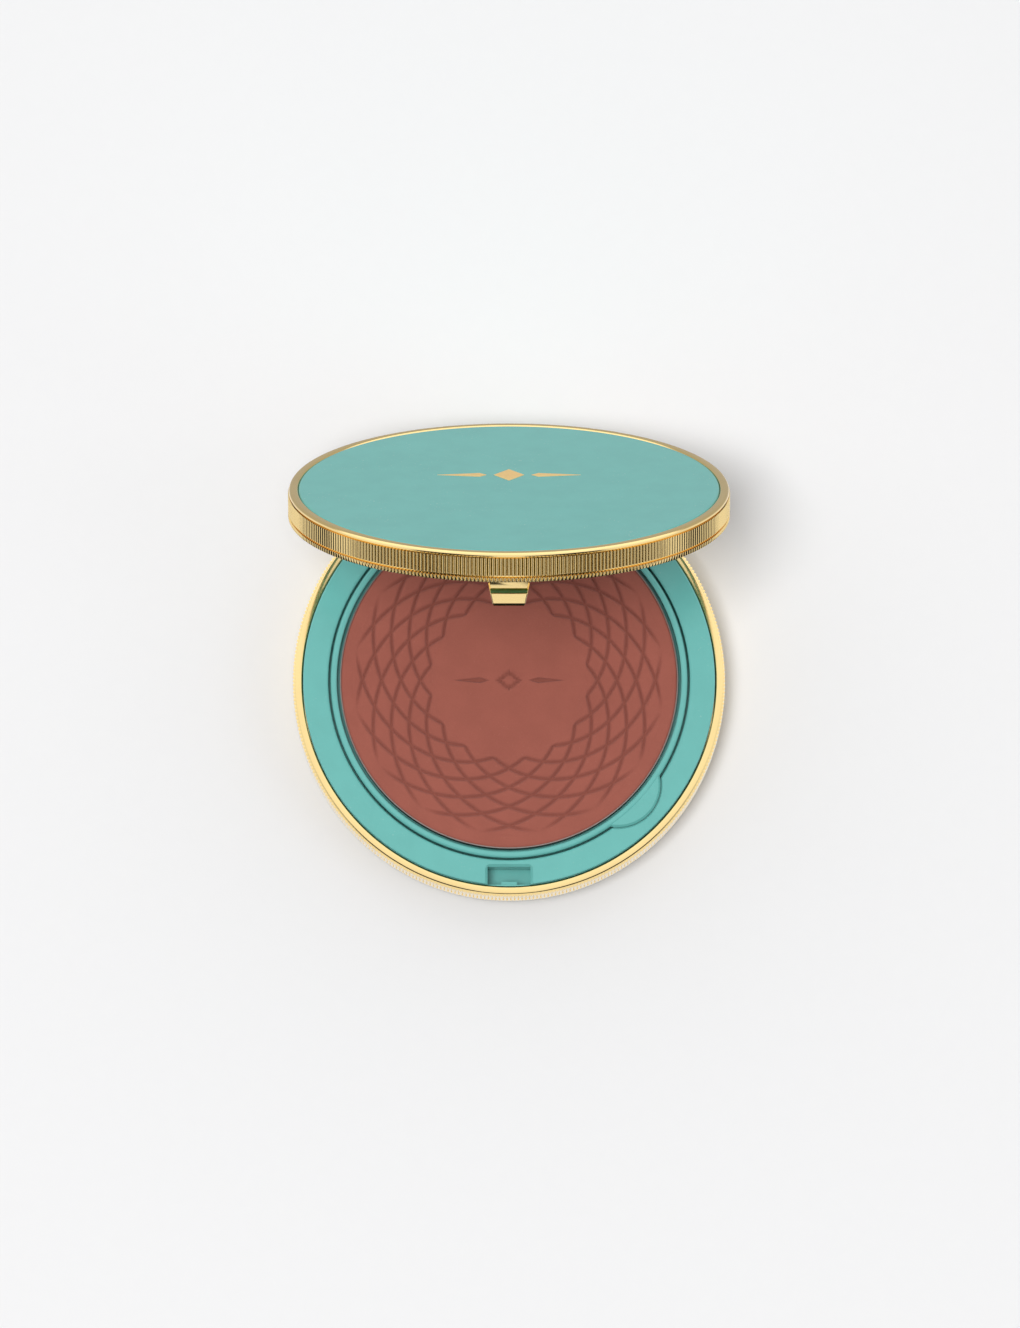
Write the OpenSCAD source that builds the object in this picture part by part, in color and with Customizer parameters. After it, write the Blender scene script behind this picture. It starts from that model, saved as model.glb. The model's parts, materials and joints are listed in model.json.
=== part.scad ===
// Round powder compact: a reeded case with a lacquered lid, a mirror inside it,
// and a lift-up powder tray over a puff compartment. Millimetres, +Z up,
// front at -Y, origin at the centre of the underside. The lid stands open.

/* [Case] */
// Outer diameter of the case over the reeding
case_d = 84; // [80:1:88]
// Height of the base from its underside to the lid's seat
base_h = 13; // [12.5:0.1:14]
// Height of the lid from its lower edge to the top of its rim
lid_h = 5.75; // [5.6:0.05:6.5]
// Width of the rim seen from above
rim_w = 2; // [1.8:0.1:2.4]
// How far the deck stands above the lid's seat
deck_rise = 1.2; // [1:0.1:1.3]

/* [Powder] */
// Diameter of the metal pan
pan_d = 65.6; // [60:0.2:66]
// Height of the metal pan
pan_h = 3.95; // [3:0.05:4]
// Outer diameter of the lift-up tray
tray_d = 69.3; // [69:0.1:70]

/* [Tray tab] */
// Radius of the round tab that lifts the tray
tab_r = 8.25; // [7:0.25:9]
// Angle of the tab from +X, seen from above
tab_angle = -44; // [-70:1:-30]

/* [Latch] */
// Width of the pocket in the deck
pocket_w = 8.3; // [7:0.1:10]
// Length of the tongue below the lid's lower edge
tongue_drop = 5.6; // [4:0.1:5.8]

/* [Hinge] */
// Distance of the pin from the centre of the case
pin_y = 45; // [44.6:0.1:46]
// Diameter of the pin
pin_d = 1.5; // [1.2:0.1:1.6]
// Diameter of the hinge barrel
barrel_d = 4.2; // [4:0.1:4.4]
// Angle at which the lid stands open
lid_open = 65; // [0:5:120]

/* [Hidden] */
$fn = 96;

gold = "#D9B25F";
teal = "#78BEB8";
powder_brown = "#A05A4A";

eps = 0.01;                  // overlap between the pieces of one solid
case_r = case_d / 2;
rim_r = case_r - rim_w;      // inner edge of both rims
deck_z = base_h + deck_rise;
deck_r = rim_r - 0.05;
groove = 0.35;               // depth of the grooves above and below the reeding

// bottom
plate_t = 1.4;
plate_r = case_r - 3.4;
foot_z = 0.3;                // the ring stays this far off the table
label_r = 17;
label_t = 0.1;

// inner case
floor_z = plate_t + 0.1;
floor_top = floor_z + 1;
skirt_t = 1.2;
well_r = tray_d / 2 + 0.4;   // the tray's well
well_t = 1.15;
ledge_r = well_r - 1.05;     // the shoulder under the tray
ledge_z = 8.9;
deck_t = 1.6;

// tray, pan and powder
tray_r = tray_d / 2;
tray_floor = ledge_z + 0.05;
tray_floor_t = 0.9;
pan_r = pan_d / 2;
pan_wall = 0.2;
glue_t = 0.15;
pan_z = tray_floor + tray_floor_t + glue_t;
powder_t = pan_h - pan_wall - 0.05;
tab_at = tray_r + 2.95 - tab_r;   // the tab's centre, out from the middle
tab_t = 1.2;
tab_gap = 0.25;

// latch
pocket_in = rim_r - 3.65;    // inner wall of the pocket
pocket_out = rim_r - 0.3;    // outer wall
pocket_floor = 6.9;
catch = [0.6, 10.9, 11.8];    // the ridge over the hook: how far it stands in, and its heights
catch_w = 3;
tongue_w = [7.8, 5.8];       // at the lid's edge and at the tip
tongue_t = 1.2;
tongue_y = -(rim_r - 1.3);   // front face of the tongue
hook_out = 0.55;             // how far the hook stands out
hook_h = 2.6;

// hinge: the tray, the lid and the base share the pin
pin_z = base_h - 0.95;
barrel_r = barrel_d / 2;
tray_knuckle = [0, 5];       // from the middle, to each side
lid_knuckle = [5.2, 9.1];
base_knuckle = [9.3, 12.6];
notch_w = 13;                // half width of the opening in both rims
pin_fit = 0.05;              // radial clearance where a knuckle turns

// lid, in its closed place
lid_z = base_h + 0.15;
lid_top = lid_z + lid_h;
face_t = 1.05;               // lacquered plate
face_z = lid_top - 0.1 - face_t;
film_t = 0.15;
web_t = 1;
web_z = face_z - film_t - web_t;
mirror_t = 1;
tape_t = 0.3;
mirror_r = 35.8;
mirror_z = web_z - tape_t - mirror_t;
frame_z = deck_z + 0.4;
shell_r = rim_r + 0.25;

// points on an arc, for a polygon
function arc(c, r, a0, a1, n = 6) =
    [for (i = [0:n]) let (a = a0 + (a1 - a0) * i / n) [c.x + r * cos(a), c.y + r * sin(a)]];

module disc(r, z, t) {
    translate([0, 0, z]) cylinder(r = r, h = t);
}

module tube(r_out, r_in, z, t) {
    translate([0, 0, z]) difference() {
        cylinder(r = r_out, h = t);
        translate([0, 0, -1]) cylinder(r = r_in, h = t + 2);
    }
}

// a block given by its two corners
module block(a, b) {
    translate(a) cube(b - a);
}

// both sides of the hinge's middle
module both_sides() {
    children();
    mirror([1, 0, 0]) children();
}

// one knuckle: a barrel round the pin
module barrel(span) {
    translate([span[0], pin_y, pin_z]) rotate([0, 90, 0]) cylinder(r = barrel_r, h = span[1] - span[0]);
}

module pin_bore(clearance) {
    translate([-20, pin_y, pin_z]) rotate([0, 90, 0]) cylinder(r = pin_d / 2 + clearance, h = 40);
}

// carries the lid's pieces from closed to where the lid stands open
module opened() {
    translate([0, pin_y, pin_z]) rotate([-lid_open, 0, 0]) translate([0, -pin_y, -pin_z]) children();
}

module rim_notch(z0, z1) {
    block([-notch_w, case_r - 6, z0], [notch_w, case_r + 1, z1]);
}

module bottom_plate() {
    color(teal) difference() {
        rotate_extrude() polygon(concat(
            [[0, 0]], arc([plate_r - 0.4, 0.4], 0.4, -90, 0), [[plate_r, plate_t], [0, plate_t]]));
        disc(label_r + 0.05, -1, 1 + label_t);
    }
}

module bottom_label() {
    color("whitesmoke") disc(label_r, 0, label_t);
}

module base_ring() {
    band_z = [3.4, base_h - 1.25];   // the reeded band
    color(gold) difference() {
        rotate_extrude() polygon(concat(
            [[plate_r + 0.1, foot_z + 0.1], [plate_r + 0.2, foot_z]],
            arc([case_r - 1.6, foot_z + 1.5], 1.5, -90, 0),
            [[case_r - 0.1, band_z[0] - 0.3], [case_r - groove, band_z[0] - 0.15], [case_r, band_z[0]],
             [case_r, band_z[1]], [case_r - groove - 0.1, band_z[1] + 0.15]],
            arc([case_r - 0.9, base_h - 0.6], 0.6, -25, 90),
            arc([rim_r + 0.45, base_h - 0.3], 0.3, 90, 180),
            [[rim_r + 0.15, floor_z - 0.05], [plate_r + 0.1, floor_z - 0.05]]));
        rim_notch(pin_z - barrel_r - 0.1, base_h + 1);
    }
}

module inner_case() {
    hinge_block = [notch_w - 0.1, well_r + 0.4];
    color(teal) difference() {
        union() {
            disc(rim_r, floor_z, floor_top - floor_z);
            tube(rim_r, rim_r - skirt_t, floor_top - eps, deck_z - deck_t - floor_top + 2 * eps);
            tube(well_r + well_t, ledge_r, floor_top - eps, ledge_z - floor_top + eps);
            tube(well_r + well_t, well_r, ledge_z - eps, deck_z - deck_t - ledge_z + 2 * eps);
            deck();
            intersection() {
                union() {
                    // pocket walls, a pad under the tab, and the block that carries the hinge
                    block([-pocket_w / 2 - 1, -rim_r, pocket_floor - 0.9], [pocket_w / 2 + 1, -well_r, deck_z - 1]);
                    rotate([0, 0, tab_angle]) translate([tab_at, 0, deck_z - deck_t - 1])
                        cylinder(r = tab_r + 1.3, h = 1.5);
                    block([-hinge_block[0], hinge_block[1], 9.4], [hinge_block[0], rim_r, deck_z - 0.9]);
                }
                tube(rim_r, well_r, 0, deck_z);
            }
            both_sides() {
                barrel(base_knuckle);
                block([base_knuckle[0], rim_r - 3, pin_z - barrel_r], [base_knuckle[1], pin_y, pin_z]);
            }
        }
        // latch pocket, open to the rim above its outer wall, with a ridge that holds the hook
        difference() {
            block([-pocket_w / 2, -pocket_out, pocket_floor], [pocket_w / 2, -pocket_in, deck_z + 1]);
            block([-catch_w / 2, -pocket_out - 1, catch[1]], [catch_w / 2, -pocket_out + catch[0], catch[2]]);
        }
        pocket_mouth();
        tab_seat();
        disc(well_r, ledge_z, 20);
        // slot for the tray's arm
        block([-tray_knuckle[1] - 0.2, well_r - 2, deck_z - 1.9], [tray_knuckle[1] + 0.2, case_r, deck_z + 1]);
        pin_bore(0.01);
    }
}

// the flat ring round the tray, rounded at both edges
module deck() {
    rotate_extrude() polygon(concat(
        [[well_r, deck_z - deck_t], [deck_r, deck_z - deck_t]],
        arc([deck_r - 0.25, deck_z - 0.25], 0.25, 0, 90),
        arc([well_r + 0.45, deck_z - 0.45], 0.45, 90, 180)));
}

module hinge_pin() {
    color("silver") translate([-base_knuckle[1], pin_y, pin_z]) rotate([0, 90, 0])
        cylinder(r = pin_d / 2, h = 2 * base_knuckle[1]);
}

module puff() {
    puff_r = 31.5;
    puff_t = 5.1;
    edge = 2.2;
    color("antiquewhite") translate([0, 0, floor_top]) rotate_extrude() polygon(concat(
        [[0, 0]], arc([puff_r - edge, edge], edge, -90, 0, 5),
        arc([puff_r - edge, puff_t - edge], edge, 0, 90, 5), [[0, puff_t]]));
}

module puff_ribbon() {
    ribbon_w = 13;
    color("white") intersection() {
        block([-31, -ribbon_w / 2, floor_top + 5.15], [31, ribbon_w / 2, floor_top + 5.45]);
        disc(29.2, 0, 20);
    }
}

// the round tab, level with the deck, with a soft upper edge
module tab() {
    soft = 0.4;
    rotate([0, 0, tab_angle]) translate([tab_at, 0, deck_z - tab_t]) {
        cylinder(r = tab_r, h = tab_t - soft);
        translate([0, 0, tab_t - soft]) cylinder(r1 = tab_r, r2 = tab_r - soft, h = soft);
    }
}

// what the tab's seat takes out of the deck, rounding the deck's edge
module tab_seat() {
    r = tab_r + tab_gap;
    soft = 0.35;
    rotate([0, 0, tab_angle]) translate([tab_at, 0, 0]) rotate_extrude() polygon(concat(
        [[0, deck_z - tab_t - 0.25], [r, deck_z - tab_t - 0.25]],
        arc([r + soft, deck_z - soft], soft, 180, 90),
        [[r + soft, deck_z + 1], [0, deck_z + 1]]));
}

// the pocket's outline with round inner corners, grown on its three closed sides
function pocket_outline(grow, corner) = let (x = pocket_w / 2 + grow, y = pocket_in - grow)
    concat(arc([-x + corner, -y - corner], corner, 180, 90), arc([x - corner, -y - corner], corner, 90, 0),
           [[x, -rim_r - 1], [-x, -rim_r - 1]]);

// the pocket's mouth, open to the rim, with a chamfer round it
module pocket_mouth() {
    chamfer = 0.5;
    low = base_h - 0.6;
    translate([0, 0, low]) linear_extrude(3) polygon(pocket_outline(0, 0.5));
    hull() {
        translate([0, 0, deck_z - chamfer]) linear_extrude(eps) polygon(pocket_outline(0, 0.5));
        translate([0, 0, deck_z + eps]) linear_extrude(eps) polygon(pocket_outline(chamfer, 1));
    }
}

module powder_tray() {
    crown = deck_z + 0.15;
    inner_r = pan_r + 0.6;
    color(teal) difference() {
        union() {
            rotate_extrude() polygon(concat(
                [[0, tray_floor], [tray_r - 0.4, tray_floor], [tray_r, tray_floor + 0.4]],
                arc([tray_r - 0.6, crown - 0.6], 0.6, 0, 90),
                arc([inner_r + 0.35, crown - 0.35], 0.35, 90, 180),
                [[inner_r, tray_floor + tray_floor_t], [0, tray_floor + tray_floor_t]]));
            difference() {
                tab();
                disc(tray_r - 0.25, 0, 20);
            }
            barrel([-tray_knuckle[1], tray_knuckle[1]]);
            block([-tray_knuckle[1], tray_r - 0.8, deck_z - 1.6], [tray_knuckle[1], pin_y, deck_z]);
        }
        pin_bore(pin_fit);
    }
}

module pan() {
    color("gainsboro") translate([0, 0, pan_z]) difference() {
        cylinder(r = pan_r, h = pan_h);
        translate([0, 0, pan_wall]) cylinder(r = pan_r - pan_wall, h = pan_h);
    }
}

module pan_adhesive() {
    color("ivory") disc(20, tray_floor + tray_floor_t, glue_t);
}

module pressed_powder() {
    r = pan_r - pan_wall - 0.02;
    color(powder_brown) translate([0, 0, pan_z + pan_wall]) rotate_extrude()
        polygon([[0, 0], [r, 0], [r, powder_t - 0.25], [r - 0.25, powder_t], [0, powder_t]]);
}

module lid_ring() {
    bead_top = lid_z + 1.1;
    band_z = [lid_z + 1.4, lid_top - 0.75];
    color(gold) opened() difference() {
        rotate_extrude() polygon(concat(
            [[rim_r + 0.3, lid_z], [case_r - 0.6, lid_z]],
            arc([case_r - 0.45, lid_z + 0.4], 0.4, -60, 0, 4),
            [[case_r - 0.05, bead_top], [case_r - groove, bead_top + 0.1], [case_r - groove, band_z[0] - 0.1],
             [case_r, band_z[0]], [case_r, band_z[1]], [case_r - 0.1, band_z[1] + 0.05]],
            arc([case_r - 0.8, lid_top - 0.7], 0.7, 0, 90),
            arc([rim_r + 0.25, lid_top - 0.2], 0.2, 90, 180, 3),
            [[rim_r + 0.05, face_z - 0.05], [rim_r + 0.3, face_z - 0.05]]));
        rim_notch(lid_z - 1, lid_z + 2.65);
    }
}

module lid_plate() {
    color(teal) opened() rotate_extrude() polygon(concat(
        [[0, face_z], [rim_r, face_z]],
        arc([rim_r - 0.35, face_z + face_t - 0.35], 0.35, 0, 90),
        [[0, face_z + face_t]]));
}

// a lozenge between two tapered bars, in place of lettering
module lid_ornament() {
    t = 0.05;
    color(gold) opened() translate([0, 7.8, face_z + face_t]) linear_extrude(t) {
        polygon([[-2.9, 0], [0, -3.6], [2.9, 0], [0, 3.6]]);
        both_sides() polygon([[4.3, 0], [5.6, -1.1], [13.7, 0], [5.6, 1.1]]);
    }
}

module plate_adhesive() {
    color("ivory") opened() disc(rim_r - 1.2, face_z - film_t, film_t);
}

module lid_shell() {
    color(teal) opened() difference() {
        union() {
            disc(shell_r, web_z, web_t);
            rotate_extrude() polygon(concat(
                [[shell_r, web_z + eps], [mirror_r + 0.1, web_z + eps]],
                arc([mirror_r + 0.5, frame_z + 0.4], 0.4, 180, 270),
                [[shell_r, frame_z]]));
            both_sides() {
                barrel(lid_knuckle);
                block([lid_knuckle[0], rim_r + 0.3, lid_z], [lid_knuckle[1], pin_y, lid_z + 2.45]);
                block([lid_knuckle[0], rim_r - 2, frame_z], [lid_knuckle[1], rim_r + 0.4, lid_z + 2.45]);
            }
        }
        pin_bore(pin_fit);
        // seat for the tongue's foot
        block([-tongue_w[0] / 2 - 0.8, tongue_y - 0.05, frame_z - 1],
              [tongue_w[0] / 2 + 0.8, tongue_y + tongue_t + 0.65, web_z - 0.3]);
    }
}

module mirror_tape() {
    color("white") opened() disc(mirror_r - 1, mirror_z + mirror_t, tape_t);
}

module mirror_glass() {
    bevel = 0.3;
    color("azure") opened() translate([0, 0, mirror_z]) rotate_extrude()
        polygon([[0, 0], [mirror_r - bevel - 0.5, 0], [mirror_r, bevel], [mirror_r, mirror_t], [0, mirror_t]]);
}

// a tapered tongue with a foot in the lid and a hook that faces the rim
module latch_tongue() {
    tip = lid_z - tongue_drop;
    foot = [tongue_w[0] / 2 + 0.7, web_z - 0.35 - frame_z];
    side = [[tongue_y, frame_z + 0.5], [tongue_y, tip + hook_h + hook_out],
            [tongue_y - hook_out, tip + hook_h], [tongue_y - hook_out, tip + 0.6],
            [tongue_y + 0.1, tip], [tongue_y + tongue_t, tip], [tongue_y + tongue_t, frame_z + 0.5]];
    front = [[-tongue_w[0] / 2, lid_z + 3], [-tongue_w[0] / 2, lid_z - 1], [-tongue_w[1] / 2, tip],
             [tongue_w[1] / 2, tip], [tongue_w[0] / 2, lid_z - 1], [tongue_w[0] / 2, lid_z + 3]];
    color(gold) opened() {
        intersection() {
            rotate([90, 0, 90]) translate([0, 0, -10]) linear_extrude(20) polygon(side);
            rotate([90, 0, 0]) linear_extrude(2 * case_r) polygon(front);
        }
        block([-foot[0], tongue_y, frame_z + 0.05],
              [foot[0], tongue_y + tongue_t + 0.6, frame_z + foot[1]]);
    }
}

bottom_plate();
bottom_label();
base_ring();
inner_case();
hinge_pin();
puff();
puff_ribbon();
powder_tray();
pan();
pan_adhesive();
pressed_powder();
lid_ring();
lid_plate();
lid_ornament();
plate_adhesive();
lid_shell();
mirror_glass();  // mirror
mirror_tape();
latch_tongue();
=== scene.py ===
import json
import math

import bmesh
import bpy
from mathutils import Matrix, Vector


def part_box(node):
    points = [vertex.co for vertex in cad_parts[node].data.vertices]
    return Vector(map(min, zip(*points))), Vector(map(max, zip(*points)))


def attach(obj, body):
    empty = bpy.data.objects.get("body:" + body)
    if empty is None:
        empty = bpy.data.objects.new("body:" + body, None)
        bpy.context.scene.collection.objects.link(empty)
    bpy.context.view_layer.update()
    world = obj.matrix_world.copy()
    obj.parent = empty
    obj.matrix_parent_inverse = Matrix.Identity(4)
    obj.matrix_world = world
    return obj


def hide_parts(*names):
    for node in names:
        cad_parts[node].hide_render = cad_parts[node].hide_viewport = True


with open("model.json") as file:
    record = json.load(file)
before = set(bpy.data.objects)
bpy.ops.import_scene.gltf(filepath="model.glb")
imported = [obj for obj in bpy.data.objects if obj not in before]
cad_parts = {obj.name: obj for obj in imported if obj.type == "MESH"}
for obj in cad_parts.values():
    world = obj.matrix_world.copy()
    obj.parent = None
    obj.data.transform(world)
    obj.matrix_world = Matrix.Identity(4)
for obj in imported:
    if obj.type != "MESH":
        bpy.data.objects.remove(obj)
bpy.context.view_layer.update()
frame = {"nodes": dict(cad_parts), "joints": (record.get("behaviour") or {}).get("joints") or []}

bl_info = {
    "name": "Powder Compact",
    "version": (1, 0, 0),
    "blender": (4, 5, 0),
    "location": "3D View > Sidebar > Compact",
    "description": "Reeded rims, embossed powder, a velour puff and finishes for a packed powder compact",
    "category": "Add Mesh",
}

MM = 0.001
NOTCH_HALF = 13 * MM      # half width of the opening that both rims leave for the hinge
NOTCH_DEEP = 6 * MM       # how far in from the rim's crest the opening starts
SLACK = 0.01 * MM         # how far from a height or a radius a point still counts as on it
NODES = frame["nodes"]


# ---------------------------------------------------------------- places taken from the frame


def lid_joint():
    return next(joint for joint in frame["joints"] if joint["name"] == "lid_hinge")


def opening():
    """The turn that carries the lid's pieces from closed to where the frame has them."""
    joint = lid_joint()
    pin = Vector(joint["pos_m"])
    turn = Matrix.Rotation(math.radians(-joint["range_deg"][0]), 4, Vector(joint["axis"]))
    return Matrix.Translation(pin) @ turn @ Matrix.Translation(-pin)


def closed_box(node):
    """The lowest and highest corner of one of the lid's nodes with the lid closed, in metres."""
    closing = opening().inverted()
    points = [closing @ vertex.co for vertex in NODES[node].data.vertices]
    low = Vector(min(point[axis] for point in points) for axis in range(3))
    high = Vector(max(point[axis] for point in points) for axis in range(3))
    return low, high


# ---------------------------------------------------------------- settings


class CompactSizes(bpy.types.PropertyGroup):
    """Sizes of the details that the frame leaves plain"""

    reeds: bpy.props.IntProperty(
        name="Reeds", description="Ridges round each rim", default=360, min=120, max=420)
    reed_depth: bpy.props.FloatProperty(
        name="Reed depth", description="Height of a ridge over its valley",
        default=0.3 * MM, unit="LENGTH")
    lattice_start: bpy.props.FloatProperty(
        name="Lattice start", description="Radius of the lattice's inner points",
        default=15.3 * MM, unit="LENGTH")
    lattice_row: bpy.props.FloatProperty(
        name="Lattice row", description="Distance from one row of crossings to the next",
        default=1.87 * MM, unit="LENGTH")
    lattice_points: bpy.props.IntProperty(
        name="Lattice points", description="Inner points round the lattice", default=16, min=8, max=24)
    groove_depth: bpy.props.FloatProperty(
        name="Groove depth", description="Depth of the pressed grooves", default=0.5 * MM, unit="LENGTH")
    groove_width: bpy.props.FloatProperty(
        name="Groove width", description="Width of a pressed groove", default=0.56 * MM, unit="LENGTH")


def colour_property(name, description, default):
    return bpy.props.FloatVectorProperty(
        name=name, description=description, subtype="COLOR", size=3, min=0, max=1, default=default)


class CompactColours(bpy.types.PropertyGroup):
    """Colours of the finishes"""

    lacquer: colour_property("Lacquer", "Glossy lacquer of the case", (0.145, 0.462, 0.425))
    gold: colour_property("Gold", "Anodised rims, tongue and inlay", (0.950, 0.720, 0.330))
    powder: colour_property("Powder", "Pressed powder", (0.330, 0.098, 0.070))
    velour: colour_property("Velour", "Pile of the puff", (0.800, 0.650, 0.520))
    satin: colour_property("Satin", "Ribbon of the puff", (0.780, 0.720, 0.640))
    floor: colour_property("Floor", "Studio floor", (0.800, 0.800, 0.805))


def sizes():
    return bpy.context.scene.compact_sizes


def colours():
    return bpy.context.scene.compact_colours


# ---------------------------------------------------------------- shader helpers


def new_group(name, inputs, outputs):
    """A shader node group with named float, vector or colour sockets."""
    tree = bpy.data.node_groups.new(name, "ShaderNodeTree")
    for label, kind, default in inputs:
        socket = tree.interface.new_socket(label, in_out="INPUT", socket_type=f"NodeSocket{kind}")
        if default is not None:
            socket.default_value = default
    for label, kind in outputs:
        tree.interface.new_socket(label, in_out="OUTPUT", socket_type=f"NodeSocket{kind}")
    return tree, tree.nodes.new("NodeGroupInput"), tree.nodes.new("NodeGroupOutput")


def noise(tree, vector, scale, detail=3.0, roughness=0.5):
    node = tree.nodes.new("ShaderNodeTexNoise")
    tree.links.new(vector, node.inputs["Vector"])
    if isinstance(scale, (int, float)):
        node.inputs["Scale"].default_value = scale
    else:
        tree.links.new(scale, node.inputs["Scale"])
    node.inputs["Detail"].default_value = detail
    node.inputs["Roughness"].default_value = roughness
    return node.outputs["Fac"]


def maths(tree, operation, first, second=None, third=None):
    node = tree.nodes.new("ShaderNodeMath")
    node.operation = operation
    for socket, value in zip(node.inputs, (first, second, third)):
        if value is None:
            continue
        if isinstance(value, (int, float)):
            socket.default_value = value
        else:
            tree.links.new(value, socket)
    return node.outputs["Value"]


def spread(tree, value, low, high, to_low=0.0, to_high=1.0):
    """Maps a value's range low..high onto to_low..to_high, smoothly and clamped."""
    node = tree.nodes.new("ShaderNodeMapRange")
    node.interpolation_type = "SMOOTHSTEP"
    tree.links.new(value, node.inputs["Value"])
    for label, number in (("From Min", low), ("From Max", high), ("To Min", to_low), ("To Max", to_high)):
        if isinstance(number, (int, float)):
            node.inputs[label].default_value = number
        else:
            tree.links.new(number, node.inputs[label])
    return node.outputs["Result"]


def grain_group():
    """Fine irregular grain: a mask that tints and a height that feeds a bump."""
    tree, ins, outs = new_group(
        "fine_grain",
        [("Vector", "Vector", None), ("Scale", "Float", 1000.0), ("Contrast", "Float", 0.2)],
        [("Mask", "Float"), ("Height", "Float")])
    fine = noise(tree, ins.outputs["Vector"], ins.outputs["Scale"], 4.0, 0.6)
    low = maths(tree, "SUBTRACT", 0.5, ins.outputs["Contrast"])
    high = maths(tree, "ADD", 0.5, ins.outputs["Contrast"])
    tree.links.new(spread(tree, fine, low, high), outs.inputs["Mask"])
    tree.links.new(fine, outs.inputs["Height"])
    return tree


def wear_group():
    """Handling marks: hairlines in two directions and faint finger smudges."""
    tree, ins, outs = new_group(
        "handling_marks",
        [("Vector", "Vector", None), ("Hairlines", "Float", 1.0), ("Smudges", "Float", 1.0)],
        [("Mask", "Float"), ("Height", "Float")])
    lines = []
    for turn, stretch in ((0.6, (90.0, 4200.0, 90.0)), (-0.9, (3600.0, 70.0, 120.0))):
        place = tree.nodes.new("ShaderNodeMapping")
        place.inputs["Rotation"].default_value = (0.0, 0.0, turn)
        place.inputs["Scale"].default_value = stretch
        tree.links.new(ins.outputs["Vector"], place.inputs["Vector"])
        lines.append(spread(tree, noise(tree, place.outputs["Vector"], 1.0, 2.0), 0.66, 0.74))
    hairs = maths(tree, "MULTIPLY", maths(tree, "MAXIMUM", *lines), ins.outputs["Hairlines"])
    smudge = spread(tree, noise(tree, ins.outputs["Vector"], 55.0, 2.0, 0.55), 0.52, 0.72)
    smudge = maths(tree, "MULTIPLY", smudge, ins.outputs["Smudges"])
    tree.links.new(maths(tree, "MAXIMUM", hairs, smudge), outs.inputs["Mask"])
    tree.links.new(hairs, outs.inputs["Height"])
    return tree


def dust_group():
    """A film of fine specks, gathered in patches."""
    tree, ins, outs = new_group(
        "settled_dust", [("Vector", "Vector", None), ("Amount", "Float", 0.5)], [("Mask", "Float")])
    specks = noise(tree, ins.outputs["Vector"], 2600.0, 1.0)
    patches = noise(tree, ins.outputs["Vector"], 120.0, 3.0)
    mask = maths(tree, "MULTIPLY", spread(tree, specks, 0.68, 0.76), spread(tree, patches, 0.42, 0.7))
    tree.links.new(maths(tree, "MULTIPLY", mask, ins.outputs["Amount"]), outs.inputs["Mask"])
    return tree


GROUP_MAKERS = {"fine_grain": grain_group, "handling_marks": wear_group, "settled_dust": dust_group}


class Finish:
    """One material: a Principled BSDF, object coordinates and the shared groups."""

    def __init__(self, name, colour, roughness, **constants):
        self.material = bpy.data.materials.new(name)
        self.material.use_nodes = True
        self.material.diffuse_color = (*colour, 1.0)
        self.tree = self.material.node_tree
        self.shader = self.tree.nodes["Principled BSDF"]
        self.shader.inputs["Base Color"].default_value = (*colour, 1.0)
        self.shader.inputs["Roughness"].default_value = roughness
        self.colour = colour
        for label, value in constants.items():
            self.shader.inputs[label.replace("_", " ").title().replace("Ior", "IOR")].default_value = value
        self.place = self.tree.nodes.new("ShaderNodeTexCoord").outputs["Object"]

    def group(self, name, **values):
        node = self.tree.nodes.new("ShaderNodeGroup")
        node.node_tree = bpy.data.node_groups.get(name) or GROUP_MAKERS[name]()
        self.tree.links.new(self.place, node.inputs["Vector"])
        for label, value in values.items():
            node.inputs[label].default_value = value
        return node

    def tint(self, mask, darker, lighter):
        """Base Color from darker to lighter shares of the colour as the mask goes from 0 to 1."""
        shades = [tuple(min(1.0, channel * share) for channel in self.colour) for share in (darker, lighter)]
        return self.blend(mask, *shades)

    def blend(self, mask, under, over):
        """Lays one colour over another where the mask is 1."""
        mix = self.tree.nodes.new("ShaderNodeMix")
        mix.data_type = "RGBA"
        self.tree.links.new(mask, mix.inputs["Factor"])
        for socket, value in (("A", under), ("B", over)):
            target = next(item for item in mix.inputs if item.identifier == f"{socket}_Color")
            if isinstance(value, tuple):
                target.default_value = (*value, 1.0)
            else:
                self.tree.links.new(value, target)
        return next(item for item in mix.outputs if item.identifier == "Result_Color")

    def feed(self, label, output):
        self.tree.links.new(output, self.shader.inputs[label])

    def bump(self, height, strength, distance):
        node = self.tree.nodes.new("ShaderNodeBump")
        node.inputs["Strength"].default_value = strength
        node.inputs["Distance"].default_value = distance
        self.tree.links.new(height, node.inputs["Height"])
        self.feed("Normal", node.outputs["Normal"])


# ---------------------------------------------------------------- finishes


def lacquer():
    """Glossy teal lacquer with a faint orange peel, hairlines and a few smudges."""
    finish = Finish(
        "teal_lacquer", tuple(colours().lacquer), 0.2, coat_weight=0.1, coat_roughness=0.04,
        specular_ior_level=0.3)
    flow = finish.group("fine_grain", Scale=140.0, Contrast=0.25)
    marks = finish.group("handling_marks", Hairlines=0.5, Smudges=0.6)
    dust = finish.group("settled_dust", Amount=0.25)
    finish.feed("Base Color", finish.blend(
        dust.outputs["Mask"], finish.tint(flow.outputs["Mask"], 0.97, 1.03), (0.75, 0.72, 0.68)))
    finish.feed("Roughness", maths(
        finish.tree, "MULTIPLY_ADD", marks.outputs["Mask"], 0.1, 0.17))
    peel = finish.group("fine_grain", Scale=420.0)
    finish.bump(peel.outputs["Height"], 0.05, 0.05 * MM)
    return finish.material


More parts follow.
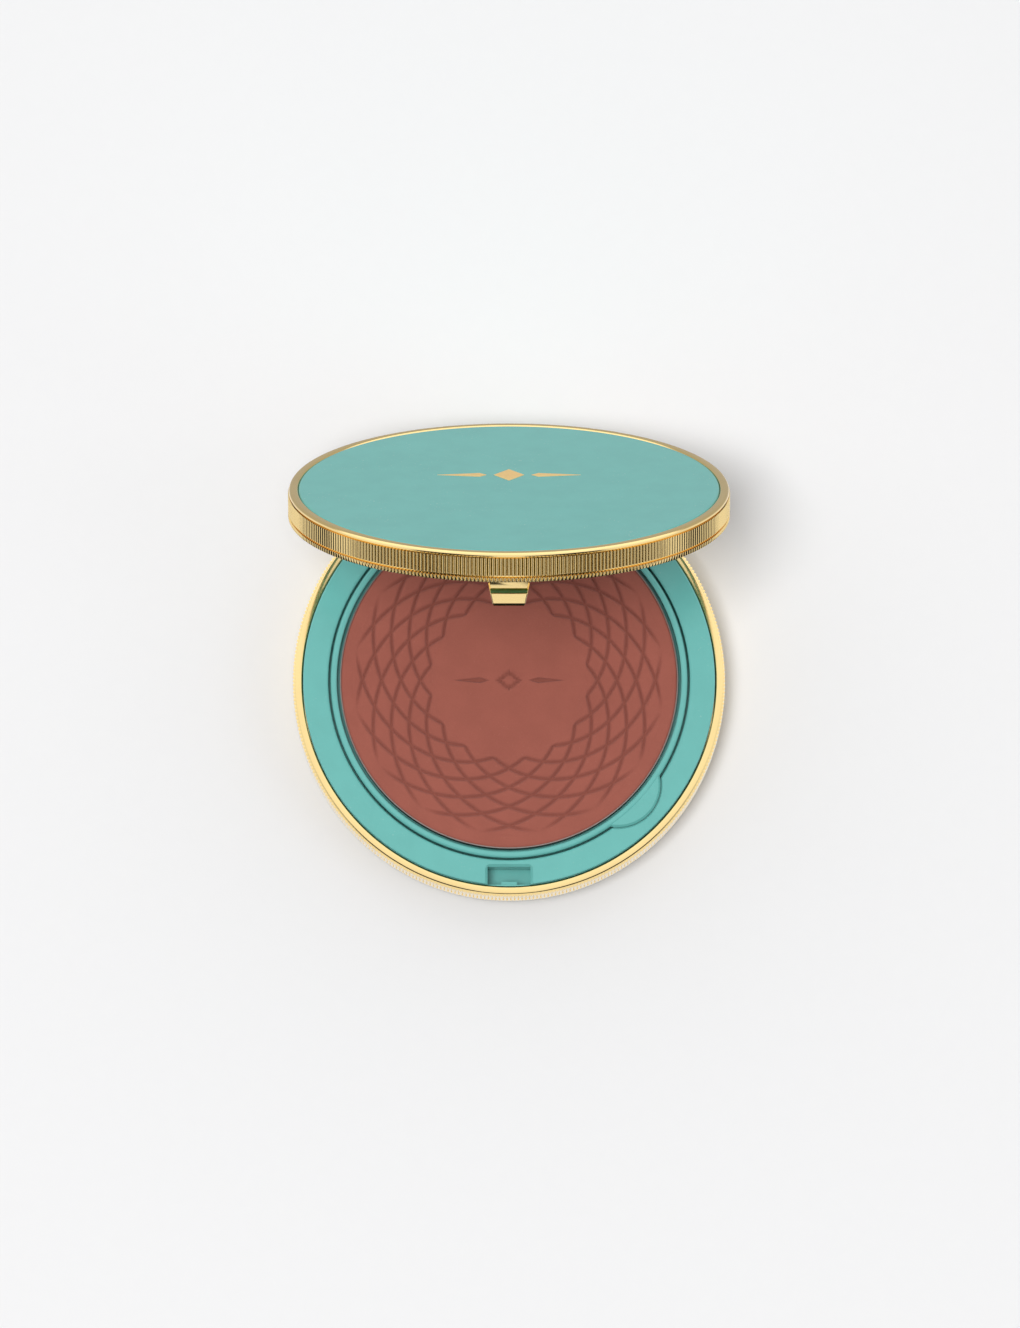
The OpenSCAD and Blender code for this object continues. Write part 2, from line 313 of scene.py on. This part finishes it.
def gold():
    """Polished gold anodising with drawn tool marks and soft tarnish."""
    finish = Finish("gold_anodised", tuple(colours().gold), 0.2, metallic=1.0)
    tarnish = finish.group("fine_grain", Scale=90.0, Contrast=0.2)
    marks = finish.group("handling_marks", Hairlines=0.7, Smudges=0.5)
    finish.feed("Base Color", finish.tint(tarnish.outputs["Mask"], 0.97, 1.02))
    finish.feed("Roughness", maths(finish.tree, "MULTIPLY_ADD", marks.outputs["Mask"], 0.08, 0.12))
    grit = finish.group("fine_grain", Scale=5200.0)
    finish.bump(grit.outputs["Height"], 0.03, 0.01 * MM)
    return finish.material


def gold_foil():
    """Hot-pressed gold foil: brighter and more even than bare metal."""
    finish = Finish("gold_foil", (0.92, 0.62, 0.24), 0.4, metallic=0.3)
    grain = finish.group("fine_grain", Scale=1400.0, Contrast=0.25)
    finish.feed("Base Color", finish.tint(grain.outputs["Mask"], 0.95, 1.04))
    finish.bump(grain.outputs["Height"], 0.1, 0.01 * MM)
    return finish.material


def plain_metal(name, colour, roughness, scale):
    """Bare sheet or wire with a fine grain."""
    finish = Finish(name, colour, roughness, metallic=1.0)
    grain = finish.group("fine_grain", Scale=scale, Contrast=0.25)
    marks = finish.group("handling_marks", Hairlines=0.9, Smudges=0.3)
    finish.feed("Base Color", finish.tint(grain.outputs["Mask"], 0.92, 1.05))
    finish.feed("Roughness", maths(finish.tree, "MULTIPLY_ADD", marks.outputs["Mask"], 0.15, roughness))
    finish.bump(grain.outputs["Height"], 0.1, 0.01 * MM)
    return finish.material


def powder_finish():
    """Matte pressed powder: fine grain, soft mottling, stray pale grains and painted shade in the pressed
    grooves and mark.
    """
    finish = Finish("pressed_powder", tuple(colours().powder), 0.92, sheen_weight=0.12, sheen_roughness=0.6)
    mottle = finish.group("fine_grain", Scale=160.0, Contrast=0.22)
    grain = finish.group("fine_grain", Scale=3600.0, Contrast=0.22)
    dust = finish.group("settled_dust", Amount=0.35)
    both = maths(finish.tree, "MULTIPLY_ADD", grain.outputs["Mask"], 0.45,
                 maths(finish.tree, "MULTIPLY", mottle.outputs["Mask"], 0.55))
    dusted = finish.blend(dust.outputs["Mask"], finish.tint(both, 0.93, 1.07), (0.5, 0.22, 0.17))
    # Painted shade: where the pressed mask marks the grooves and the mark, the colour falls towards packed,
    # the powder's colour at 55 percent, standing in for the shade inside them.
    pressed = finish.tree.nodes.new("ShaderNodeAttribute")
    pressed.attribute_name = "pressed"
    packed = tuple(channel * 0.55 for channel in finish.colour)
    finish.feed("Base Color", finish.blend(
        maths(finish.tree, "MULTIPLY", pressed.outputs["Fac"], 0.6), dusted, packed))
    finish.bump(grain.outputs["Height"], 0.35, 0.03 * MM)
    return finish.material


def mirror_finish():
    """Silvered glass with a breath of dust."""
    finish = Finish("mirror_silver", (0.93, 0.945, 0.95), 0.01, metallic=1.0)
    dust = finish.group("settled_dust", Amount=0.6)
    marks = finish.group("handling_marks", Hairlines=0.0, Smudges=0.5)
    both = maths(finish.tree, "MAXIMUM", dust.outputs["Mask"], maths(
        finish.tree, "MULTIPLY", marks.outputs["Mask"], 0.12))
    finish.feed("Roughness", maths(finish.tree, "MULTIPLY_ADD", both, 0.3, 0.01))
    return finish.material


def velour():
    """Short pile that lies this way and that."""
    finish = Finish("puff_velour", tuple(colours().velour), 0.95, sheen_weight=0.6, sheen_roughness=0.4)
    pile = finish.group("fine_grain", Scale=2400.0, Contrast=0.25)
    lay = finish.group("fine_grain", Scale=130.0, Contrast=0.15)
    both = maths(finish.tree, "MULTIPLY_ADD", pile.outputs["Mask"], 0.5,
                 maths(finish.tree, "MULTIPLY", lay.outputs["Mask"], 0.5))
    finish.feed("Base Color", finish.tint(both, 0.84, 1.08))
    finish.bump(pile.outputs["Height"], 0.8, 0.15 * MM)
    return finish.material


def satin():
    """Satin ribbon: fine threads across its width."""
    finish = Finish("ribbon_satin", tuple(colours().satin), 0.38, sheen_weight=0.3)
    threads = finish.tree.nodes.new("ShaderNodeTexWave")
    threads.bands_direction = "X"
    threads.inputs["Scale"].default_value = 1100.0
    threads.inputs["Distortion"].default_value = 0.6
    finish.tree.links.new(finish.place, threads.inputs["Vector"])
    finish.feed("Base Color", finish.tint(threads.outputs["Fac"], 0.93, 1.04))
    finish.bump(threads.outputs["Fac"], 0.3, 0.02 * MM)
    return finish.material


def paper():
    """Coated label paper."""
    finish = Finish("label_paper", (0.82, 0.82, 0.80), 0.55)
    fibre = finish.group("fine_grain", Scale=1500.0, Contrast=0.25)
    finish.feed("Base Color", finish.tint(fibre.outputs["Mask"], 0.97, 1.01))
    finish.bump(fibre.outputs["Height"], 0.15, 0.02 * MM)
    return finish.material


def glue():
    """Milky adhesive film."""
    finish = Finish("adhesive_film", (0.72, 0.68, 0.56), 0.5)
    flow = finish.group("fine_grain", Scale=260.0, Contrast=0.2)
    finish.feed("Base Color", finish.tint(flow.outputs["Mask"], 0.93, 1.04))
    finish.bump(flow.outputs["Height"], 0.2, 0.05 * MM)
    return finish.material


def studio_floor():
    """Pale seamless paper."""
    finish = Finish("studio_paper", tuple(colours().floor), 0.9, specular_ior_level=0.1)
    fibre = finish.group("fine_grain", Scale=300.0, Contrast=0.4)
    finish.feed("Base Color", finish.tint(fibre.outputs["Mask"], 0.995, 1.005))
    return finish.material


FINISHES = {
    "teal_lacquer": lacquer,
    "gold_anodised": gold,
    "gold_foil": gold_foil,
    "drawn_steel": lambda: plain_metal("drawn_steel", (0.60, 0.60, 0.59), 0.25, 1800.0),
    # The pan's metal is painted far darker than bare aluminium. This is painted shade that keeps its thin
    # rim dim in its gap inside the tray's ring.
    "pan_aluminium": lambda: plain_metal("pan_aluminium", (0.36, 0.29, 0.27), 0.45, 900.0),
    "pressed_powder": powder_finish,
    "mirror_silver": mirror_finish,
    "puff_velour": velour,
    "ribbon_satin": satin,
    "label_paper": paper,
    "adhesive_film": glue,
    "studio_paper": studio_floor,
}


def finish_of(name):
    return bpy.data.materials.get(name) or FINISHES[name]()


def dress(nodes, name):
    """Gives CAD nodes a finish through their objects' material slots."""
    for node in nodes:
        for slot in NODES[node].material_slots:
            slot.material = finish_of(name)


# ---------------------------------------------------------------- mesh helpers


def arc(centre, radius, start, end, steps=5):
    """Points on an arc in a profile's plane, angles in degrees."""
    points = []
    for index in range(steps + 1):
        angle = math.radians(start + (end - start) * index / steps)
        points.append((centre[0] + radius * math.cos(angle), centre[1] + radius * math.sin(angle)))
    return points


def factors(number):
    """The prime factors of a whole number."""
    found = []
    divisor = 2
    while number > 1:
        while number % divisor == 0:
            found.append(divisor)
            number //= divisor
        divisor += 1
    return found


def turned(points, wedges, fine=1, closed=False, press=None):
    """Turns a profile of (radius, height) points round the Z axis: one wedge, then copies of copies."""
    bm = bmesh.new()
    verts = [bm.verts.new((radius, 0.0, height)) for radius, height in points]
    pairs = list(zip(verts, verts[1:])) + ([(verts[-1], verts[0])] if closed else [])
    edges = [bm.edges.new(pair) for pair in pairs]
    wedge = math.tau / wedges
    bmesh.ops.spin(
        bm, geom=verts + edges, cent=(0, 0, 0), axis=(0, 0, 1), angle=wedge, steps=fine,
        use_merge=False, use_normal_flip=False)
    if press is not None:
        press(bm)
    for count in factors(wedges):
        geometry = bm.verts[:] + bm.edges[:] + bm.faces[:]
        for index in range(1, count):
            copy = bmesh.ops.duplicate(bm, geom=geometry)["geom"]
            moved = [item for item in copy if isinstance(item, bmesh.types.BMVert)]
            turn = Matrix.Rotation(wedge * index, 3, "Z")
            bmesh.ops.rotate(bm, verts=moved, cent=(0, 0, 0), matrix=turn)
        wedge *= count
    bmesh.ops.remove_doubles(bm, verts=bm.verts, dist=0.0005 * MM)
    bmesh.ops.recalc_face_normals(bm, faces=bm.faces)
    return bm


def finished(bm, name, finish, body, replaces=(), sharp=35.0):
    """Makes a bmesh an object on its body, shaded smooth but for its sharp edges."""
    mesh = bpy.data.meshes.new(name)
    bm.to_mesh(mesh)
    bm.free()
    mesh.shade_smooth()
    mesh.set_sharp_from_angle(angle=math.radians(sharp))
    piece = bpy.data.objects.new(name, mesh)
    bpy.context.scene.collection.objects.link(piece)
    mesh.materials.append(finish_of(finish))
    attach(piece, body)
    if replaces:
        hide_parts(*replaces)
    return piece


def box_cutter(low, high):
    """A temporary block between two corners."""
    bm = bmesh.new()
    middle = (Vector(low) + Vector(high)) / 2
    size = Vector(high) - Vector(low)
    bmesh.ops.create_cube(bm, size=1.0, matrix=Matrix.Translation(middle) @ Matrix.Diagonal((*size, 1.0)))
    mesh = bpy.data.meshes.new("cutter")
    bm.to_mesh(mesh)
    bm.free()
    cutter = bpy.data.objects.new("cutter", mesh)
    bpy.context.scene.collection.objects.link(cutter)
    return cutter


def cut_block(bm, low, high):
    """Cuts a block out of a closed bmesh and returns the result as a new bmesh."""
    mesh = bpy.data.meshes.new("blank")
    bm.to_mesh(mesh)
    bm.free()
    blank = bpy.data.objects.new("blank", mesh)
    bpy.context.scene.collection.objects.link(blank)
    cutter = box_cutter(low, high)
    modifier = blank.modifiers.new("notch", "BOOLEAN")
    modifier.operation = "DIFFERENCE"
    modifier.solver = "MANIFOLD"
    modifier.object = cutter
    shaped = bmesh.new()
    shaped.from_object(blank, bpy.context.evaluated_depsgraph_get())
    for helper in (blank, cutter):
        bpy.data.objects.remove(helper)
    return shaped


def reeded(profile, bands, crest):
    """Turns a closed profile with round ridges and sharp valleys pressed into its bands."""
    count = sizes().reeds
    depth = sizes().reed_depth

    def press(bm):
        for vertex in bm.verts:
            radius = vertex.co.xy.length
            in_band = any(low - SLACK < vertex.co.z < high + SLACK for low, high in bands)
            if in_band and radius > crest - SLACK:
                angle = math.atan2(vertex.co.y, vertex.co.x)
                sunk = radius - depth * (1.0 - abs(math.cos(angle * count / 2)))
                vertex.co.xy *= sunk / radius

    return turned(profile, count, fine=8, closed=True, press=press)


# ---------------------------------------------------------------- pieces


class COMPACT_OT_base_rim(bpy.types.Operator):
    """Reeded gold rim of the base, with its seat for the lid and its opening for the hinge"""

    bl_idname = "compact.base_rim"
    bl_label = "Base Rim"

    def execute(self, context):
        low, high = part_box("base_ring")
        outer = high[0]
        seat = high[2]
        foot = low[2]
        inner = outer - 1.85 * MM
        under = outer - 3.3 * MM
        band = (foot + 3.1 * MM, seat - 2.35 * MM)
        bead = (seat - 1.9 * MM, seat - 1.0 * MM)
        groove = outer - 0.6 * MM
        lip = outer - 0.45 * MM
        profile = [(under, foot + 1.15 * MM), (under, foot + 0.15 * MM)]
        profile += arc((outer - 1.6 * MM, foot + 1.5 * MM), 1.5 * MM, -90, 0, 8)
        profile += [(outer - 0.1 * MM, band[0] - 0.3 * MM), (groove, band[0] - 0.2 * MM),
                    (groove, band[0] - 0.05 * MM), (outer, band[0]), (outer, band[1]),
                    (groove, band[1] + 0.05 * MM), (groove, bead[0] - 0.05 * MM),
                    (outer, bead[0]), (outer, bead[1]), (groove, bead[1] + 0.1 * MM),
                    (groove, bead[1] + 0.3 * MM)]
        profile += arc((lip - 0.25 * MM, seat - 0.25 * MM), 0.25 * MM, -10, 90)
        profile += arc((inner + 0.2 * MM, seat - 0.2 * MM), 0.2 * MM, 90, 180, 4)
        profile += [(inner, foot + 1.15 * MM)]
        bm = reeded(profile, (band, bead), outer)
        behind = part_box("inner_case")[1][1]
        notch_low = seat - 3.15 * MM
        bm = cut_block(bm, (-NOTCH_HALF, outer - NOTCH_DEEP, notch_low), (NOTCH_HALF, behind, seat + MM))
        finished(bm, "base_rim_reeded", "gold_anodised", "base", ["base_ring"])
        return {"FINISHED"}


class COMPACT_OT_lid_rim(bpy.types.Operator):
    """Reeded gold rim of the lid, with its rounded bezel and its bead along the lower edge"""

    bl_idname = "compact.lid_rim"
    bl_label = "Lid Rim"

    def execute(self, context):
        low, high = closed_box("lid_ring")
        plate_low = closed_box("lid_plate")[0][2]
        outer = high[0]
        top = high[2]
        edge = low[2]
        inner = outer - 1.95 * MM
        bead = (edge + 0.25 * MM, edge + 0.95 * MM)
        band = (edge + 1.35 * MM, top - 1.0 * MM)
        groove = outer - 0.6 * MM
        profile = [(outer - 1.7 * MM, edge), (outer - 0.6 * MM, edge), (outer - 0.25 * MM, edge + 0.06 * MM),
                   (outer, bead[0]), (outer, bead[1]), (groove, bead[1] + 0.08 * MM),
                   (groove, band[0] - 0.08 * MM), (outer, band[0]), (outer, band[1]),
                   (groove, band[1] + 0.05 * MM), (groove, band[1] + 0.34 * MM)]
        profile += arc((outer - 0.78 * MM, top - 0.62 * MM), 0.62 * MM, -5, 90, 8)
        profile += arc((inner + 0.5 * MM, top - 0.5 * MM), 0.5 * MM, 90, 180, 6)
        profile += [(inner, plate_low - 0.05 * MM), (outer - 1.7 * MM, plate_low - 0.05 * MM)]
        bm = reeded(profile, (band, bead), outer)
        notch_top = edge + 2.65 * MM
        bm = cut_block(
            bm, (-NOTCH_HALF, outer - NOTCH_DEEP, edge - MM), (NOTCH_HALF, outer + MM, notch_top))
        bmesh.ops.transform(bm, matrix=opening(), verts=bm.verts)
        finished(bm, "lid_rim_reeded", "gold_anodised", "lid", ["lid_ring"])
        return {"FINISHED"}


def smooth_step(value, low, high):
    share = min(1.0, max(0.0, (value - low) / (high - low)))
    return share * share * (3 - 2 * share)


class Lattice:
    """Two sets of spirals that cross in rows, pressed into the powder."""

    def __init__(self):
        self.start = sizes().lattice_start
        self.row = sizes().lattice_row
        self.half = math.tau / sizes().lattice_points / 2
        self.width = sizes().groove_width

    def lines(self, x, y):
        along = (math.hypot(x, y) - self.start) / self.row
        around = math.atan2(y, x) / self.half - 1.0
        return along, around

    def depth(self, x, y):
        """How deep the grooves are, from 0 to 1."""
        radius = math.hypot(x, y)
        if radius < self.start - self.row:
            return 0.0
        along, around = self.lines(x, y)
        slope = math.hypot(1.0 / self.row, 1.0 / (radius * self.half))
        deepest = 0.0
        for line in (along + around, along - around):
            off = abs(line / 2 - round(line / 2)) * 2
            away = off / slope / (self.width / 2)
            deepest = max(deepest, math.exp(-away * away))
        return deepest * smooth_step(along, -0.12, 0.1) * (1.0 - smooth_step(along, 7.2, 8.1))

    def pillow(self, x, y):
        """A slight swelling of each field between the grooves, from 0 to 1."""
        along, around = self.lines(x, y)
        if along < 0.0 or along > 8.0:
            return 0.0
        return abs(math.sin(math.pi / 2 * (along + around)) * math.sin(math.pi / 2 * (along - around)))


def lozenge_mark(x, y):
    """A generic mark, from 0 to 1: a lozenge in outline between two tapered bars."""
    x = abs(x) / MM
    y = abs(y) / MM
    steep = 0.78        # the lozenge's height over its width
    outer = 2.05        # half height of the outline's outer edge
    inner = 1.25        # half height of its inner edge
    widest = 5.6        # where a bar is widest
    near_end = 3.7
    far_end = 11.2
    thick = 0.62        # half the bar's greatest width
    reach = x * steep + y
    ring = smooth_step(outer - reach, 0.0, 0.3) * (1.0 - smooth_step(inner - reach, 0.0, 0.3))
    if x < widest:
        half = thick * (x - near_end) / (widest - near_end)
    else:
        half = thick * (far_end - x) / (far_end - widest)
    return max(ring, smooth_step(half - y, 0.0, 0.22))


class COMPACT_OT_powder(bpy.types.Operator):
    """Pressed powder with its lattice of crossing spirals and a plain middle"""

    bl_idname = "compact.powder"
    bl_label = "Pressed Powder"

    def execute(self, context):
        low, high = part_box("pressed_powder")
        edge = high[0]
        top = high[2]
        lattice = Lattice()
        row = lattice.row / 10
        count = int(lattice.start / row)
        profile = [(0.0, low[2]), (edge, low[2]), (edge, top - 0.3 * MM), (edge - 0.1 * MM, top - 0.1 * MM)]
        radii = [lattice.start + row * index for index in range(90)]
        radii = [radius for radius in radii if radius < edge - 0.2 * MM]
        profile += [(radius, top) for radius in reversed(radii)]
        profile += [(lattice.start - row * index, top) for index in range(1, 12)]
        profile += [(lattice.start - row * index, top) for index in range(12, count, 2)] + [(0.0, top)]
        bm = turned(profile, 576)
        depth = sizes().groove_depth
        # The pressed layer records how deep each point of the top is pressed. The powder's finish uses it as
        # the mask for painted shade in the grooves and the mark.
        pressed = bm.verts.layers.float.new("pressed")
        for vertex in bm.verts:
            if vertex.co.z < top - SLACK:
                continue
            x, y = vertex.co.xy
            groove = lattice.depth(x, y)
            mark = lozenge_mark(x, y)
            vertex[pressed] = max(groove, mark)
            swell = (1.0 - lattice.pillow(x, y)) * 0.06 * MM
            vertex.co.z -= groove * depth + swell + mark * 0.35 * MM
        finished(bm, "powder_embossed", "pressed_powder", "tray", ["pressed_powder"], sharp=60.0)
        return {"FINISHED"}


class COMPACT_OT_puff(bpy.types.Operator):
    """Velour puff with a seam round its edge and a satin ribbon across it"""

    bl_idname = "compact.puff"
    bl_label = "Puff and Ribbon"

    def crown(self, radius, outer, low, top):
        """Height of the puff's upper face: it falls away towards the seam."""
        share = min(1.0, radius / outer)
        return low + (top - low) * (1.0 - share ** 6) ** 0.5

    def execute(self, context):
        low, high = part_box("puff")
        outer = high[0]
        seam = low[2] + (high[2] - low[2]) * 0.45
        rows = 26
        radii = [outer * (1.0 - (index / rows) ** 2) for index in range(rows + 1)]
        under = [(radius, 2 * seam - self.crown(radius, outer, seam, 2 * seam - low[2]))
                 for radius in reversed(radii)]
        over = [(radius, self.crown(radius, outer, seam, high[2])) for radius in radii]
        bm = turned(under + over[1:], 240)
        for vertex in bm.verts:
            radius = vertex.co.xy.length
            if radius < 1e-6:
                continue
            angle = math.atan2(vertex.co.y, vertex.co.x)
            near_seam = smooth_step(radius, outer * 0.8, outer * 0.97)
            tuck = 0.16 * MM * near_seam * abs(math.sin(angle * 30 + 0.7 * math.sin(angle * 7)))
            vertex.co.xy *= (radius - tuck) / radius
        puff = finished(bm, "velour_puff", "puff_velour", "base", ["puff"], sharp=80.0)
        self.ribbon(outer, seam, high[2])
        return {"FINISHED"}

    def ribbon(self, outer, seam, puff_top):
        half_length, half_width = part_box("puff_ribbon")[1][:2]
        bm = bmesh.new()
        bmesh.ops.create_grid(bm, x_segments=72, y_segments=12, size=1.0)
        for vertex in bm.verts:
            x = vertex.co.x * half_length
            y = vertex.co.y * half_width
            lie = self.crown(math.hypot(x, y), outer, seam, puff_top)
            ease = 0.08 * MM * math.cos(x / half_length * 9.0) * (y / half_width)
            vertex.co = (x, y, lie + 0.1 * MM + abs(ease))
        bmesh.ops.solidify(bm, geom=bm.faces, thickness=0.12 * MM)
        bmesh.ops.recalc_face_normals(bm, faces=bm.faces)
        finished(bm, "satin_ribbon", "ribbon_satin", "base", ["puff_ribbon"], sharp=60.0)


class COMPACT_OT_tongue(bpy.types.Operator):
    """Latch tongue with a sunken neck and eased edges"""

    bl_idname = "compact.tongue"
    bl_label = "Latch Tongue"

    def execute(self, context):
        bm = bmesh.new()
        bm.from_mesh(NODES["latch_tongue"].data)
        bmesh.ops.remove_doubles(bm, verts=bm.verts, dist=0.001 * MM)
        bmesh.ops.dissolve_limit(
            bm, angle_limit=math.radians(1), verts=bm.verts, edges=bm.edges, use_dissolve_boundaries=False)
        bmesh.ops.transform(bm, matrix=opening().inverted(), verts=bm.verts)
        bm.normal_update()
        hidden = closed_box("lid_ring")[0][2] + 0.3 * MM
        everything = bm.verts[:] + bm.edges[:] + bm.faces[:]
        bmesh.ops.bisect_plane(bm, geom=everything, plane_co=(0, 0, hidden), plane_no=(0, 0, 1))
        bm.normal_update()
        front = [face for face in bm.faces
                 if face.normal.y < -0.9 and face.calc_center_median().z < hidden]
        neck = max(front, key=lambda face: face.calc_center_median().z)
        edges = [edge for edge in bm.edges if len(edge.link_faces) == 2 and edge.calc_face_angle(0) > 0.2
                 and neck not in edge.link_faces]
        bmesh.ops.inset_region(bm, faces=[neck], thickness=0.3 * MM, depth=-0.1 * MM)
        middle = neck.calc_center_median().z
        for vertex in neck.verts:
            if vertex.co.z < middle:
                vertex.co.y += 0.35 * MM
        edges = [edge for edge in edges if edge.is_valid]
        bmesh.ops.bevel(
            bm, geom=edges, offset=0.16 * MM, offset_type="OFFSET", affect="EDGES", segments=2,
            profile=0.5, material=-1, clamp_overlap=True)
        bmesh.ops.transform(bm, matrix=opening(), verts=bm.verts)
        bmesh.ops.recalc_face_normals(bm, faces=bm.faces)
        finished(bm, "tongue_eased", "gold_anodised", "lid", ["latch_tongue"], sharp=8.0)
        return {"FINISHED"}


class COMPACT_OT_finishes(bpy.types.Operator):
    """Finishes for the pieces whose shape the frame already holds"""

    bl_idname = "compact.finishes"
    bl_label = "Case Finishes"

    def execute(self, context):
        dress(["inner_case", "bottom_plate", "powder_tray", "lid_plate", "lid_shell"], "teal_lacquer")
        dress(["lid_ornament"], "gold_foil")
        dress(["hinge_pin"], "drawn_steel")
        dress(["pan"], "pan_aluminium")
        dress(["mirror"], "mirror_silver")
        dress(["bottom_label"], "label_paper")
        dress(["pan_adhesive", "plate_adhesive", "mirror_tape"], "adhesive_film")
        return {"FINISHED"}


# ---------------------------------------------------------------- stage


def area_light(name, place, side, power):
    """A square light that points at the compact and that no glossy surface mirrors."""
    aim = (0.0, 0.0, 0.02)
    data = bpy.data.lights.new(name, "AREA")
    data.shape = "SQUARE"
    data.size = side
    data.energy = power
    light = bpy.data.objects.new(name, data)
    light.location = place
    light.rotation_euler = (Vector(aim) - Vector(place)).to_track_quat("-Z", "Y").to_euler()
    light.visible_glossy = False
    bpy.context.scene.collection.objects.link(light)
    return light


class COMPACT_OT_stage(bpy.types.Operator):
    """Floor, soft studio light and the camera"""

    bl_idname = "compact.stage"
    bl_label = "Stage"

    def floor(self):
        bm = bmesh.new()
        bmesh.ops.create_grid(bm, x_segments=1, y_segments=1, size=4.0)
        mesh = bpy.data.meshes.new("studio_floor")
        bm.to_mesh(mesh)
        bm.free()
        plane = bpy.data.objects.new("studio_floor", mesh)
        bpy.context.scene.collection.objects.link(plane)
        mesh.materials.append(finish_of("studio_paper"))
        plane.visible_glossy = False

    def camera(self):
        """Looks down at the open compact from a long way off, square to its front."""
        elevation = math.radians(83.32)
        distance = 1.8297
        shift_right = 0.188 * MM
        shift_up = 3.097 * MM
        deck = Vector((0.0, 0.0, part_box("inner_case")[1][2]))
        away = Vector((0.0, -math.cos(elevation), math.sin(elevation)))
        up = Vector((0.0, math.sin(elevation), math.cos(elevation)))
        aim = deck + up * shift_up + Vector((shift_right, 0.0, 0.0))
        data = bpy.data.cameras.new("camera")
        data.sensor_width = 36.0
        data.lens = 255.75
        data.clip_start = 0.05
        data.clip_end = 20.0
        camera = bpy.data.objects.new("camera", data)
        camera.location = aim + away * distance
        camera.rotation_euler = (math.pi / 2 - elevation, 0.0, 0.0)
        bpy.context.scene.collection.objects.link(camera)
        bpy.context.scene.camera = camera

    def surroundings(self):
        """A pale room, brightest behind, with a dark screen on either side of the front and low in it."""
        world = bpy.data.worlds.new("studio_room")
        world.use_nodes = True
        tree = world.node_tree
        back = tree.nodes["Background"]
        axes = tree.nodes.new("ShaderNodeSeparateXYZ")
        place = tree.nodes.new("ShaderNodeTexCoord")
        tree.links.new(place.outputs["Generated"], axes.inputs["Vector"])
        side = maths(tree, "ABSOLUTE", axes.outputs["X"])
        front = spread(tree, axes.outputs["Y"], -0.12, -0.3)
        low = spread(tree, axes.outputs["Z"], 0.9, 0.82)
        near = spread(tree, side, 0.8, 0.7)
        beside = maths(tree, "MULTIPLY", spread(tree, side, 0.12, 0.17), near)
        skirting = spread(tree, axes.outputs["Z"], 0.5, 0.42)
        screen = maths(tree, "MAXIMUM", beside, maths(tree, "MULTIPLY", skirting, near))
        dark = maths(tree, "MULTIPLY", maths(tree, "MULTIPLY", front, low), screen)
        behind = spread(tree, axes.outputs["Y"], -0.3, 0.7, 0.95, 1.35)
        glow = maths(tree, "MULTIPLY", behind, spread(tree, dark, 0.0, 1.0, 1.0, 0.02))
        ground = spread(tree, axes.outputs["Y"], 0.15, 0.5, 0.85, 0.35)
        glow = maths(tree, "MULTIPLY", glow, spread(tree, axes.outputs["Z"], -0.1, 0.05, ground, 1.0))
        rays = tree.nodes.new("ShaderNodeLightPath")
        share = spread(tree, rays.outputs["Is Diffuse Ray"], 0.0, 1.0, 1.0, 0.5)
        tree.links.new(maths(tree, "MULTIPLY", glow, share), back.inputs["Strength"])
        back.inputs["Color"].default_value = (1.0, 1.0, 1.0, 1.0)
        bpy.context.scene.world = world

    def execute(self, context):
        self.floor()
        self.surroundings()
        area_light("key_light", (-0.26, -0.2, 2.1), 0.6, 30.0)
        area_light("fill_light", (1.3, -0.5, 1.5), 0.9, 3.0)
        self.camera()
        bpy.context.scene.view_settings.view_transform = "Standard"
        return {"FINISHED"}


# ---------------------------------------------------------------- panel and registration


STEPS = (
    ("stage", COMPACT_OT_stage),
    ("base_rim", COMPACT_OT_base_rim),
    ("lid_rim", COMPACT_OT_lid_rim),
    ("powder", COMPACT_OT_powder),
    ("puff", COMPACT_OT_puff),
    ("tongue", COMPACT_OT_tongue),
    ("finishes", COMPACT_OT_finishes),
)


class COMPACT_PT_panel(bpy.types.Panel):
    """Lists the sizes, the colours and one button for each group of pieces"""

    bl_idname = "COMPACT_PT_panel"
    bl_label = "Powder Compact"
    bl_space_type = "VIEW_3D"
    bl_region_type = "UI"
    bl_category = "Compact"

    def draw(self, context):
        layout = self.layout
        for group in (context.scene.compact_sizes, context.scene.compact_colours):
            for name in group.__annotations__:
                layout.prop(group, name)
        for _, operator in STEPS:
            layout.operator(operator.bl_idname)


CLASSES = (CompactSizes, CompactColours, *(operator for _, operator in STEPS), COMPACT_PT_panel)


def register():
    for cls in CLASSES:
        bpy.utils.register_class(cls)
    bpy.types.Scene.compact_sizes = bpy.props.PointerProperty(type=CompactSizes)
    bpy.types.Scene.compact_colours = bpy.props.PointerProperty(type=CompactColours)


def unregister():
    del bpy.types.Scene.compact_colours
    del bpy.types.Scene.compact_sizes
    for cls in reversed(CLASSES):
        bpy.utils.unregister_class(cls)


def main():
    register()
    for name, _ in STEPS:
        getattr(bpy.ops.compact, name)()


if __name__ == "__main__":
    main()
